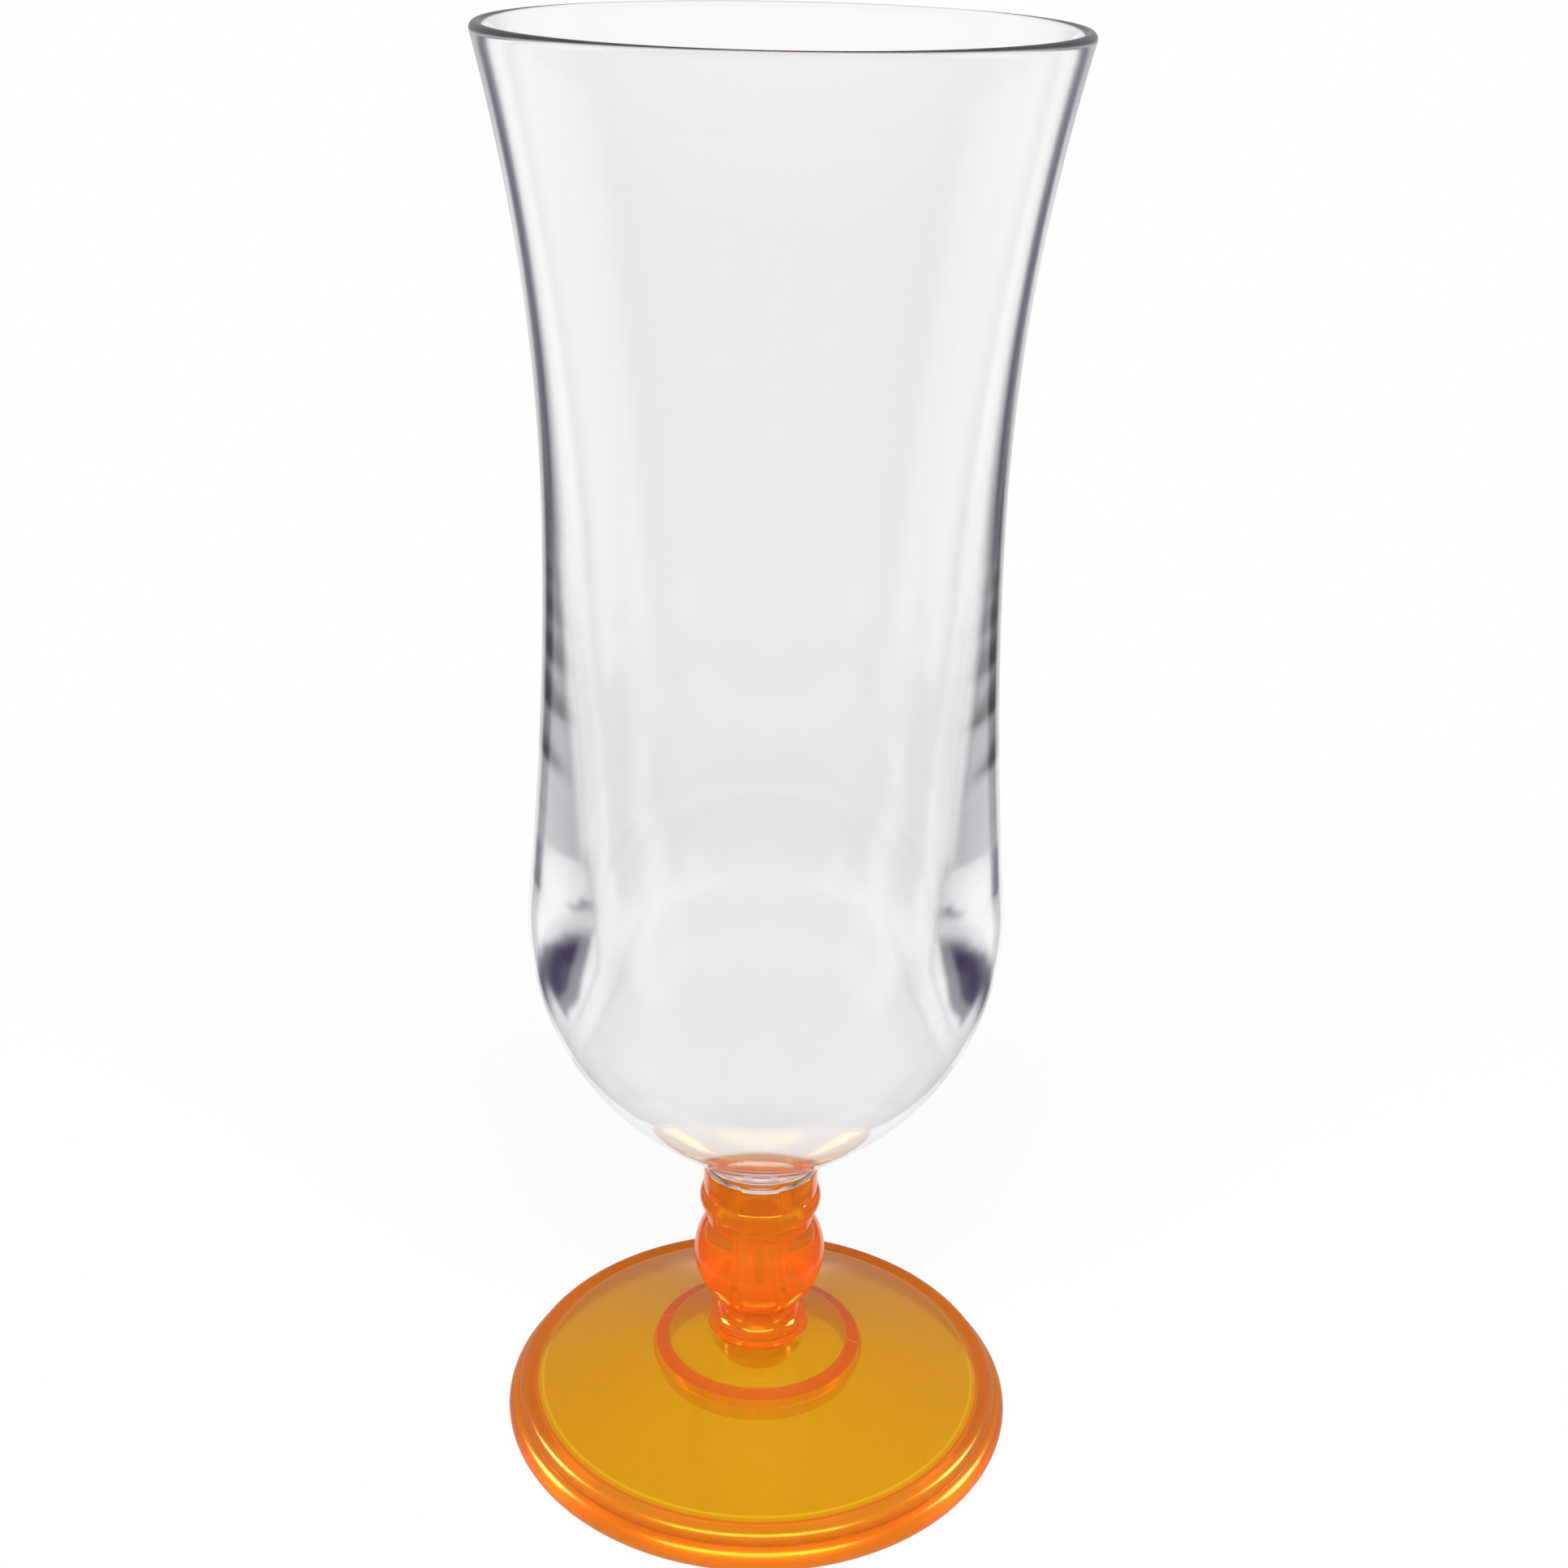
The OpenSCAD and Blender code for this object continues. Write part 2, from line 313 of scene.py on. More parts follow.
def held(points):
    """An outline with two more points near the ends of each stretch that is straight."""
    made = [points[0]]
    for a, b in zip(points, points[1:]):
        if (b - a).length > 1.01 * ARC_LENGTH:
            step = (b - a).normalized() * HOLD
            made += [a + step, b - step]
        made.append(b)
    return made


def waist_arc_r(dx, dz, radius):
    """Radius of an arc that leaves the waist upright and ends tangent to a given circle."""
    return (dx * dx + dz * dz - radius * radius) / (2 * (radius - dx))


def bowl_outline():
    """The bowl's section, from the middle of the cavity's floor round to the middle of its bore."""
    lip_r = RIM_WALL / 2
    lip_mid = point(rim_r - lip_r, bowl_h - lip_r)
    base_mid = point(BULGE_R - BASE_CURVE_R, BULGE_H)
    flare_r = waist_arc_r(WAIST_R - lip_mid.x, lip_mid.y - WAIST_H, lip_r)
    body_r = waist_arc_r(WAIST_R - base_mid.x, WAIST_H - BULGE_H, BASE_CURVE_R)
    flare_turn = math.degrees(math.asin((lip_mid.y - WAIST_H) / (flare_r + lip_r)))
    body_turn = math.degrees(math.asin((WAIST_H - BULGE_H) / (body_r + BASE_CURVE_R)))
    slope = math.radians(BASE_SLOPE)
    cone_top = base_mid + BASE_CURVE_R * turned(BASE_SLOPE - 90)
    neck_h = cone_top.y - (cone_top.x - NECK_R) * math.tan(slope)
    fillet_mid = point(NECK_R + NECK_FILLET_R,
                       neck_h + NECK_FILLET_R * (math.tan(slope) - 1 / math.cos(slope)))

    draft = math.radians(CAVITY_DRAFT)
    flare_start = point(CAVITY_R, FLARE_H)
    normal = turned(-CAVITY_DRAFT)
    to_lip = lip_mid - flare_start
    inner_r = (to_lip.length_squared - lip_r ** 2) / (2 * (to_lip.dot(normal) - lip_r))
    inner_mid = flare_start + inner_r * normal
    inner_turn = math.degrees(math.asin((lip_mid.y - inner_mid.y) / (inner_r - lip_r)))
    dome_r = ((CAVITY_R * math.cos(draft) - (FLARE_H - DOME_H) * math.sin(draft))
              / (1 - math.sin(draft)))
    dome_mid = point(0, DOME_H + dome_r)
    floor_angle = math.degrees(math.acos(FLOOR_R / dome_r))
    floor_h = dome_mid.y - dome_r * math.sin(math.radians(floor_angle))

    cavity = (arc(dome_mid, dome_r, -floor_angle, -CAVITY_DRAFT)
              + arc(inner_mid, inner_r, 180 - CAVITY_DRAFT, 180 - inner_turn))
    outside = (arc(point(WAIST_R + flare_r, WAIST_H), flare_r, 180 - flare_turn, 180)
               + arc(point(WAIST_R + body_r, WAIST_H), body_r, 180, 180 + body_turn)
               + arc(base_mid, BASE_CURVE_R, body_turn, BASE_SLOPE - 90)
               + arc(fillet_mid, NECK_FILLET_R, 90 + BASE_SLOPE, 180))
    spigot = softened([outside[-1],
                       point(NECK_R, FACE_GAP),
                       point(SPIGOT_R, FACE_GAP),
                       point(SPIGOT_R, -SPIGOT_LEN),
                       point(SPIGOT_BORE_R, -SPIGOT_LEN),
                       point(SPIGOT_BORE_R, SPIGOT_BORE_RISE),
                       point(0, SPIGOT_BORE_RISE)])
    return ([point(0, floor_h)] + cavity
            + arc(lip_mid, lip_r, 180 - inner_turn, -flare_turn) + outside + spigot)


def stem_outline():
    """The stem's section, from the top of its core round to the middle of its socket."""
    socket_r = SPIGOT_R + SOCKET_GAP
    socket_end = stem_h - SPIGOT_LEN - SOCKET_END_GAP
    core_top = socket_end - WEB
    peg_end = stem_low.z - seat_h
    edge_mid = point(FLANGE_R - FLANGE_EDGE_R, FLANGE_EDGE_RISE)
    cove_mid = point(LOWER_NECK_R + COVE_R, FLANGE_EDGE_RISE + FLANGE_EDGE_R + COVE_R)
    knob_mid = point(0, stem_h - KNOB_DROP)
    bead_mid = point(BEAD_REACH - BEAD_R, stem_h - BEAD_DROP)
    edge_low = -math.degrees(math.asin((FLANGE_EDGE_RISE - FACE_GAP) / FLANGE_EDGE_R))
    edge_top = math.degrees(math.acos((cove_mid.x - edge_mid.x) / FLANGE_EDGE_R))
    knob_low = -math.degrees(math.acos(LOWER_NECK_R / KNOB_R))
    knob_top = math.degrees(math.acos(UPPER_NECK_R / KNOB_R))
    bead_low = -math.degrees(math.acos((UPPER_NECK_R - bead_mid.x) / BEAD_R))
    bead_top = math.degrees(math.acos((COLLAR_R - bead_mid.x) / BEAD_R))
    flange = arc(edge_mid, FLANGE_EDGE_R, edge_low, edge_top)
    bead = arc(bead_mid, BEAD_R, bead_low, bead_top)
    peg = softened([point(0, core_top),
                    point(CORE_R, core_top),
                    point(CORE_R, peg_end),
                    point(PEG_R, peg_end),
                    point(PEG_R, FACE_GAP),
                    flange[0]])
    socket = softened([bead[-1],
                       point(COLLAR_R, stem_h),
                       point(socket_r, stem_h),
                       point(socket_r, socket_end),
                       point(0, socket_end)])
    return (peg[:-1] + flange
            + arc(cove_mid, COVE_R, -90, -180)
            + arc(knob_mid, KNOB_R, knob_low, knob_top)
            + bead + socket[1:])


def plate_top(r):
    return PLATE_EDGE_H + (foot_r - PLATE_INSET - r) * math.tan(math.radians(PLATE_SLOPE))


def plate_under(r):
    return plate_top(r) - PLATE_T


def foot_outline():
    """The foot's section, once round from the upper bead and back to it."""
    hub_end = seat_h - PLATE_T - HUB_DEPTH
    bore_r = PEG_R + PEG_GAP
    top_mid = point(foot_r - TOP_BEAD_STEP - TOP_BEAD_R, PLATE_EDGE_H + TOP_BEAD_RISE - TOP_BEAD_R)
    low_mid = point(foot_r - LOW_BEAD_R, LOW_BEAD_R - LOW_BEAD_FLAT)
    seat = point(FLANGE_R, seat_h)
    plate_end = line_meets(seat, turned(-PLATE_SLOPE), top_mid, TOP_BEAD_R)
    groove = circles_meet(top_mid, TOP_BEAD_R, low_mid, LOW_BEAD_R)
    stand_angle = -math.degrees(math.asin(low_mid.y / LOW_BEAD_R))
    ring_in_r = foot_r - LOW_BEAD_R - RING_REACH
    rib_in_r = RIB_R - RIB_T
    rib_tip_h = plate_under(RIB_R) - RIB_DEPTH
    top_bead = arc(top_mid, TOP_BEAD_R, angle_at(top_mid, plate_end), angle_at(top_mid, groove))
    low_bead = arc(low_mid, LOW_BEAD_R, angle_at(low_mid, groove), stand_angle)
    inside = softened([low_bead[-1],
                       point(ring_in_r, 0),
                       point(ring_in_r, plate_under(ring_in_r)),
                       point(RIB_R, plate_under(RIB_R)),
                       point(RIB_R - RIB_TAPER, rib_tip_h),
                       point(rib_in_r, rib_tip_h),
                       point(rib_in_r, plate_under(rib_in_r)),
                       point(FLANGE_R, plate_under(FLANGE_R)),
                       point(HUB_R, plate_under(FLANGE_R)),
                       point(HUB_R, hub_end),
                       point(bore_r, hub_end),
                       point(bore_r, seat_h),
                       seat,
                       plate_end])
    return top_bead + low_bead + inside[1:]


def front_block(width, near, reach, low, high):
    """A block on the front of a round piece, from one depth to an arc about the piece's axis."""
    side = math.degrees(math.asin(width / 2 / reach))
    front = arc(point(0, 0), reach, -90 - side, -90 + side)
    bm = bmesh.new()
    corners = front + [point(width / 2, -near), point(-width / 2, -near)]
    face = bm.faces.new([bm.verts.new((p.x, p.y, low)) for p in corners])
    raised = bmesh.ops.extrude_face_region(bm, geom=[face])
    bmesh.ops.translate(bm, vec=(0, 0, high - low),
                        verts=[v for v in raised["geom"] if isinstance(v, bmesh.types.BMVert)])
    bmesh.ops.recalc_face_normals(bm, faces=bm.faces)
    return bm


def shaped(bm, operation, *tools):
    """A solid after blocks are joined to it or cut from it."""
    made = []
    for solid in (bm, *tools):
        mesh = bpy.data.meshes.new("solid")
        solid.to_mesh(mesh)
        solid.free()
        made.append(bpy.data.objects.new("solid", mesh))
        bpy.context.scene.collection.objects.link(made[-1])
    for tool in made[1:]:
        step = made[0].modifiers.new("step", "BOOLEAN")
        step.operation = operation
        step.object = tool
    depsgraph = bpy.context.evaluated_depsgraph_get()
    result = bmesh.new()
    result.from_object(made[0], depsgraph)
    for each in made:
        bpy.data.meshes.remove(each.data)
    return result


def shown(name, bm, body, slot, material, *replaced):
    """Finishes a mesh, smooth but for its sharp edges, and rides it on its body."""
    bmesh.ops.recalc_face_normals(bm, faces=bm.faces)
    for face in bm.faces:
        face.smooth = True
    for edge in bm.edges:
        edge.smooth = len(edge.link_faces) == 2 and edge.calc_face_angle() < SHARP_ANGLE
    mesh = bpy.data.meshes.new(name)
    bm.to_mesh(mesh)
    bm.free()
    piece = bpy.data.objects.new(name, mesh)
    bpy.context.scene.collection.objects.link(piece)
    mesh.materials.append(material)
    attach(piece, body)
    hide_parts(*replaced)
    return piece


def spun(outline, steps):
    """An outline turned round the axis: an eighth of a turn, doubled three times and merged."""
    bm = bmesh.new()
    verts = [bm.verts.new((p.x, 0, p.y)) for p in held(outline)]
    edges = [bm.edges.new(pair) for pair in zip(verts, verts[1:])]
    bmesh.ops.spin(bm, geom=verts + edges, cent=(0, 0, 0), axis=(0, 0, 1),
                   angle=math.tau / 8, steps=steps // 8)
    for turn in (math.tau / 8, math.tau / 4, math.tau / 2):
        copied = bmesh.ops.duplicate(bm, geom=bm.verts[:] + bm.edges[:] + bm.faces[:])
        bmesh.ops.rotate(bm, cent=(0, 0, 0), matrix=Matrix.Rotation(turn, 3, "Z"),
                         verts=[v for v in copied["geom"] if isinstance(v, bmesh.types.BMVert)])
    bmesh.ops.remove_doubles(bm, verts=bm.verts, dist=MM / 1000)
    return bm


def linear(code):
    """A hex sRGB colour as linear RGBA."""
    channels = [int(code[i:i + 2], 16) / 255 for i in (1, 3, 5)]
    return [c / 12.92 if c <= 0.04045 else ((c + 0.055) / 1.055) ** 2.4 for c in channels] + [1]


def add(tree, kind, values=None, links=None, **settings):
    """Adds a node with its settings, its sockets' values and the links into them."""
    made = tree.nodes.new(kind)
    for name, value in settings.items():
        setattr(made, name, value)
    for name, value in (values or {}).items():
        made.inputs[name].default_value = value
    for name, source in (links or {}).items():
        tree.links.new(source, made.inputs[name])
    return made


def new_material(name):
    material = bpy.data.materials.new(name)
    material.use_nodes = True
    material.node_tree.nodes.clear()
    return material, material.node_tree


def ramp(tree, value, start, end):
    """A soft step from 0 at one value to 1 at another."""
    return add(tree, "ShaderNodeMapRange", {"From Min": start, "From Max": end},
               {"Value": value}, interpolation_type="SMOOTHSTEP").outputs[0]


def step_at(tree, angle, middle, soft):
    """A soft step at an angle, both given in degrees."""
    return ramp(tree, angle, math.radians(middle - soft), math.radians(middle + soft))


def calc(tree, operation, *terms):
    """A sum, product or the like of nodes' outputs and plain numbers."""
    values = {i: t for i, t in enumerate(terms) if isinstance(t, (int, float))}
    links = {i: t for i, t in enumerate(terms) if not isinstance(t, (int, float))}
    return add(tree, "ShaderNodeMath", values, links, operation=operation).outputs[0]


def between(tree, first, second, share):
    """First at a share of 0, second at a share of 1."""
    return calc(tree, "MULTIPLY_ADD", calc(tree, "SUBTRACT", second, first), share, first)


def around_axis(tree, place):
    """How far a place or direction lies from the axis, to either side and behind it."""
    axes = add(tree, "ShaderNodeSeparateXYZ", links={0: place})
    flat = add(tree, "ShaderNodeVectorMath", {1: (1, 1, 0)}, {0: place}, operation="MULTIPLY")
    away = add(tree, "ShaderNodeVectorMath", operation="LENGTH", links={0: flat.outputs[0]})
    return (calc(tree, "ABSOLUTE", axes.outputs["X"]), axes.outputs["Y"], axes.outputs["Z"],
            away.outputs["Value"])


def band(tree, value, start, end, soft):
    """1 between two values and 0 beyond them, with soft edges."""
    return calc(tree, "SUBTRACT", ramp(tree, value, start - soft, start + soft),
                ramp(tree, value, end - soft, end + soft))


def tinted(tree, code, *laid):
    """A colour with others laid over it, each through its own mask."""
    colour = None
    for over, mask in laid:
        mixed = add(tree, "ShaderNodeMix", {6: linear(code), 7: linear(over)}, {0: mask},
                    data_type="RGBA")
        if colour:
            tree.links.new(colour, mixed.inputs[6])
        colour = mixed.outputs[2]
    return colour


def flow_marks(tree, place, apart, stretch):
    """Faint streaks along the height, the way the melt ran into the mould."""
    drawn = add(tree, "ShaderNodeVectorMath", {1: (1, 1, stretch)}, {0: place},
                operation="MULTIPLY")
    return add(tree, "ShaderNodeTexNoise", {"Scale": 1 / apart, "Detail": 2.0},
               {"Vector": drawn.outputs[0]}).outputs[0]


def waved(tree, marks):
    """A surface that its flow marks leave very slightly uneven."""
    return add(tree, "ShaderNodeBump", {"Distance": MARK_DEPTH}, {"Height": marks}).outputs[0]


def clear_styrene():
    """Crystal-clear styrene copolymer, injection moulded in a polished tool. It is glossy and
    colourless, and bends light strongly, so its walls show dark lines and bright ones. The melt
    left faint streaks along it, which break the reflections up a little."""
    material, tree = new_material("clear_styrene_polished")
    place = add(tree, "ShaderNodeTexCoord").outputs["Object"]
    marks = flow_marks(tree, place, BOWL_MARKS, 0.3)
    shader = add(tree, "ShaderNodeBsdfPrincipled", {
        "Base Color": linear("#FFFFFF"),
        "IOR": 1.57,
        "Transmission Weight": 1.0,
    }, {
        "Roughness": calc(tree, "MULTIPLY_ADD", marks, 0.03, 0.045),
        "Normal": waved(tree, marks),
    })
    add(tree, "ShaderNodeOutputMaterial", links={"Surface": shader.outputs[0]})
    return material


def neon_styrene(name, paint):
    """Orange styrene copolymer with a fluorescent dye, injection moulded in a polished tool. Thin
    walls are amber and see-through. Thick ones are deep orange. The glow of light that is caught in
    the wall and comes out at edges and ribs is painted: an emission that shines without any lamp,
    and orange lines painted on. paint gives the links of its shader."""
    material, tree = new_material(name)
    place = add(tree, "ShaderNodeTexCoord").outputs["Object"]
    shader = add(tree, "ShaderNodeBsdfPrincipled", {
        "IOR": 1.55,
        "Specular Tint": linear("#FFE040"),
        # Strength of the painted glow, which shines without any lamp
        "Emission Strength": 0.5,
    }, paint(tree, place))
    volume = add(tree, "ShaderNodeVolumeAbsorption", {
        "Color": linear("#FFD67C"),
        "Density": 500.0,
    })
    add(tree, "ShaderNodeOutputMaterial", links={
        "Surface": shader.outputs[0],
        "Volume": volume.outputs[0],
    })
    return material


def stem_paint(tree, place):
    """The stem's thick walls: deep orange and a little cloudy along the way the melt ran, so the
    light in them looks streaky, partly through a painted glow that the streaks vary. A polish shows
    small sharp highlights."""
    marks = flow_marks(tree, place, STEM_MARKS, 0.25)
    return {
        "Base Color": tinted(tree, "#ECB038", ("#E8A22E", ramp(tree, marks, 0.4, 0.6))),
        "Transmission Weight": calc(tree, "MULTIPLY_ADD", marks, -0.1, 0.85),
        # A painted glow that shines without any lamp, streaked by the flow marks
        "Emission Color": tinted(tree, "#603208", ("#522A08", marks)),
        "Roughness": calc(tree, "MULTIPLY_ADD", marks, 0.03, 0.015),
        "Normal": waved(tree, marks),
    }


def weld_line(tree, place, turn):
    """A fine line out from the middle, where two fronts of melt met behind the peg's hole."""
    a = math.radians(turn)
    along, across = (add(tree, "ShaderNodeVectorMath", {1: axis}, {0: place},
                         operation="DOT_PRODUCT").outputs["Value"]
                     for axis in ((math.cos(a), math.sin(a), 0), (-math.sin(a), math.cos(a), 0)))
    fine = calc(tree, "SUBTRACT", 1, ramp(tree, calc(tree, "ABSOLUTE", across), *WELD_WIDTH))
    return calc(tree, "MULTIPLY", fine, band(tree, along, FLANGE_R + MM, WELD_END, MM))


def foot_paint(tree, place):
    """The foot's thin plate: amber with a soft sheen, so that what lies beneath it looks blurred.
    Its beads are thicker and look orange, and its weld lines are just visible. Its edge line, the
    ring over the rib and the line at the rib's end are painted glow, deeper orange where the
    plastic is thicker. A pale line inside the edge is a painted highlight, and the shade seen below
    the flange and the rib is painted over with lighter colour and glow."""
    height, away = around_axis(tree, place)[2:]
    plate_r = foot_r - PLATE_INSET
    slope = math.tan(math.radians(PLATE_SLOPE))
    level = calc(tree, "MULTIPLY_ADD", away, slope, height)
    under_level = PLATE_EDGE_H + plate_r * slope - PLATE_T
    above = ramp(tree, level, under_level + 0.5 * PLATE_T, under_level + 0.6 * PLATE_T)
    below = calc(tree, "SUBTRACT", 1,
                 ramp(tree, level, under_level - 0.2 * MM, under_level + 0.1 * MM))
    beads = ramp(tree, away, plate_r, plate_r + 0.5 * MM)
    over_rib = band(tree, away, RIB_R - RIB_T, RIB_R, 0.12 * MM)
    # The orange ring over the rib: painted glow of the rib, laid on the plate's top above it
    painted_rib_glow = calc(tree, "MULTIPLY", above, over_rib)
    # Painted light below the flange and the rib: lighter colour and glow over the shade seen there
    inside = calc(tree, "SUBTRACT", 1, ramp(tree, away, HUB_R, HUB_R + 0.2 * MM))
    painted_light_under = calc(tree, "MULTIPLY", below, calc(tree, "MAXIMUM", over_rib, inside))
    # A painted orange glow line along the rib's end
    tip_level = under_level - RIB_DEPTH
    tip = calc(tree, "SUBTRACT", 1, ramp(tree, level, tip_level, tip_level + PAINTED_TIP_REACH))
    painted_tip_glow = calc(tree, "MULTIPLY", tip, band(tree, away, RIB_R - RIB_TAPER - PAINTED_TIP_REACH, RIB_R,
                                                0.1 * MM))
    # A painted orange glow line along the plate's edge, and a painted pale highlight inside it
    edge, painted_highlight = (calc(tree, "MULTIPLY", above,
                       band(tree, away, plate_r + line[0], plate_r + line[1], soft))
                  for line, soft in ((PAINTED_GLOW_SPAN, 0.15 * MM), (PAINTED_HIGHLIGHT_SPAN, 0.2 * MM)))
    welds = calc(tree, "MULTIPLY", above,
                 calc(tree, "MAXIMUM", *(weld_line(tree, place, turn) for turn in WELD_TURNS)))
    marks = flow_marks(tree, place, FOOT_MARKS, 1.0)
    return {
        "Base Color": tinted(tree, "#C6A61B",
                             ("#CEB428", calc(tree, "MULTIPLY", marks, 0.5)),
                             ("#CC8424", beads),
                             ("#E0B030", painted_light_under),
                             ("#E4D430", painted_highlight),
                             ("#C05818", edge),
                             ("#BC5820", painted_rib_glow),
                             ("#E8641C", painted_tip_glow),
                             ("#E08020", calc(tree, "MULTIPLY", welds, 0.7))),
        "Transmission Weight": calc(tree, "MULTIPLY_ADD", calc(
            tree, "MAXIMUM", calc(tree, "MAXIMUM", painted_rib_glow, edge), painted_light_under), -0.4, 0.75),
        # Painted glow over all the foot: brighter on the beads and below the flange, redder over
        # the rib
        "Emission Color": tinted(tree, "#612E08", ("#6C4414", beads), ("#9A5C0C", painted_light_under),
                                 ("#5C1E04", painted_rib_glow)),
        "Roughness": calc(tree, "MULTIPLY_ADD", beads, 0.12, 0.1),
        "Normal": waved(tree, marks),
    }


def at_all(tree, count):
    """0 for none and 1 for one or more."""
    return calc(tree, "MINIMUM", count, 1)


def mirrored(tree, path):
    """1 for light that a clear or glossy surface has thrown back, outside or inside a wall."""
    return calc(tree, "MULTIPLY", at_all(tree, path.outputs["Glossy Depth"]),
                path.outputs["Is Glossy Ray"])


def from_behind(tree, angle, light, edge):
    """Painted light behind and beside the glass, with the painted dim room past an edge."""
    return calc(tree, "MULTIPLY", light,
                calc(tree, "SUBTRACT", 1, step_at(tree, angle, *edge)))


def high_light(tree, angle):
    """What light high in the walls finds at an angle, painted: white, a dark flag, white again."""
    white = calc(tree, "MULTIPLY", HIGH_WHITE, step_at(tree, angle, *HIGH_EDGE))
    return from_behind(tree, angle, calc(tree, "ADD", white, calc(
        tree, "SUBTRACT", 1, step_at(tree, angle, *BACK_EDGE))), ROOM_EDGE)


def low_light(tree, angle):
    """What light low in the walls finds, painted: white, a wide black card, grey, and white."""
    grey = calc(tree, "MULTIPLY", CARD_GREY, step_at(tree, angle, *CARD_EDGE))
    white = calc(tree, "MULTIPLY", 1 - CARD_GREY, step_at(tree, angle, *SIDE_EDGE))
    return from_behind(tree, angle, calc(
        tree, "ADD", calc(tree, "SUBTRACT", 1, step_at(tree, angle, *BACK_EDGE)),
        calc(tree, "ADD", grey, white)), ROOM_EDGE)


def mixed_by_bounces(tree, path, light):
    """Light that a wall has thrown back many times is an even mixture of its surroundings."""
    return between(tree, light, MIXTURE_WHITE,
                   ramp(tree, path.outputs["Glossy Depth"], *MANY_TURNS))


def floor_white(tree, path, place):
    """How white a place on the floor is painted for light that a surface has thrown back."""
    aside, behind, _, away = around_axis(tree, place)
    angle = calc(tree, "ARCTAN2",
                 calc(tree, "MAXIMUM", calc(tree, "SUBTRACT", aside, LEAVES_ASIDE), 0),
                 calc(tree, "ADD", behind, LEAVES_AHEAD))
    bent = calc(tree, "ADD", angle, calc(tree, "MULTIPLY", math.radians(FAR_TURN),
                                         ramp(tree, away, *FAR_RANGE)))
    reach = calc(tree, "SUBTRACT", away, WAIST_R)
    length = path.outputs["Ray Length"]
    rise = calc(tree, "SUBTRACT", calc(tree, "MULTIPLY", length, length),
                calc(tree, "MULTIPLY", reach, reach))
    low_start, low_end = (h * h for h in CARD_LEVEL)
    high = ramp(tree, rise, low_start, low_end)
    walls = between(tree, low_light(tree, bent), high_light(tree, angle), high)
    taper = calc(tree, "MULTIPLY_ADD", behind, PAPER_TAPER, aside)
    strip = calc(tree, "MULTIPLY",
                 calc(tree, "SUBTRACT", 1,
                      ramp(tree, taper, PAPER_HALF - PAPER_SOFT, PAPER_HALF + PAPER_SOFT)),
                 ramp(tree, behind, -PAPER_FRONT - PAPER_SOFT, PAPER_SOFT - PAPER_FRONT))
    near = calc(tree, "MULTIPLY_ADD", ramp(tree, away, *PAPER_RANGE), 1 - PAPER_NEAR_PAINTED_SHADE, PAPER_NEAR_PAINTED_SHADE)
    inside = mixed_by_bounces(tree, path, calc(tree, "MAXIMUM", walls,
                                               calc(tree, "MULTIPLY", strip, near)))
    start, end = step_at(tree, angle, *OUTER_START), step_at(tree, angle, *OUTER_END)
    flag = calc(tree, "SUBTRACT", start, calc(tree, "MULTIPLY", end, high))
    outer = from_behind(tree, angle, calc(tree, "MULTIPLY_ADD", flag, -OUTER_DARK, 1), OUTER_ROOM)
    base_start, base_end = (h * h for h in BASE_LEVEL)
    bowl = calc(tree, "MULTIPLY", ramp(tree, rise, base_start, base_end),
                calc(tree, "SUBTRACT", 1, ramp(tree, away, *HORIZON_RANGE)))
    outside = between(tree, BASE_WHITE, outer, bowl)
    return between(tree, outside, inside, at_all(tree, path.outputs["Transmission Depth"]))


def world_white(tree, path, direction):
    """How white a direction is painted for light that has been thrown back inside a wall."""
    aside, behind, height, _ = around_axis(tree, direction)
    around = high_light(tree, calc(tree, "ARCTAN2", aside, behind))
    above = calc(tree, "MULTIPLY", ramp(tree, height, *CEILING_RANGE), calc(
        tree, "MULTIPLY", CEILING_WHITE, at_all(tree, path.outputs["Transmission Depth"])))
    return mixed_by_bounces(tree, path, calc(tree, "MAXIMUM", around, above))


def floor_material():
    """Seamless white paper: seen white, and still darkened by the shadow that falls on it, with
    painted shade near the glass and painted surroundings for light that is thrown back.
    """
    material, tree = new_material("white_paper_sweep")
    path = add(tree, "ShaderNodeLightPath")
    place = add(tree, "ShaderNodeTexCoord").outputs["Object"]
    away = around_axis(tree, place)[3]
    seen = calc(tree, "MAXIMUM", path.outputs["Is Camera Ray"],
                calc(tree, "MAXIMUM", path.outputs["Is Glossy Ray"],
                     path.outputs["Is Transmission Ray"]))
    near = ramp(tree, away, *UNDER_RANGE)
    share = calc(tree, "MULTIPLY", seen,
                 calc(tree, "MULTIPLY_ADD", near, UNDER_SHADE, 1 - UNDER_SHADE))
    strength = calc(tree, "MAXIMUM", path.outputs["Is Camera Ray"],
                    calc(tree, "MULTIPLY_ADD", near, 1 - UNDER_GLASS_PAINTED_SHADE, UNDER_GLASS_PAINTED_SHADE))
    paper = add(tree, "ShaderNodeBsdfDiffuse", {"Color": linear("#F4F4F4")})
    white = add(tree, "ShaderNodeEmission", {"Color": linear("#FFFFFF")}, {"Strength": strength})
    sweep = add(tree, "ShaderNodeMixShader", links={
        0: share,
        1: paper.outputs[0],
        2: white.outputs[0],
    })
    hidden = calc(tree, "MULTIPLY", mirrored(tree, path),
                  calc(tree, "SUBTRACT", 1, floor_white(tree, path, place)))
    room = add(tree, "ShaderNodeEmission", {"Color": linear(PAINTED_ROOM), "Strength": 1.0})
    mixed = add(tree, "ShaderNodeMixShader", links={
        0: hidden,
        1: sweep.outputs[0],
        2: room.outputs[0],
    })
    add(tree, "ShaderNodeOutputMaterial", links={"Surface": mixed.outputs[0]})
    return material


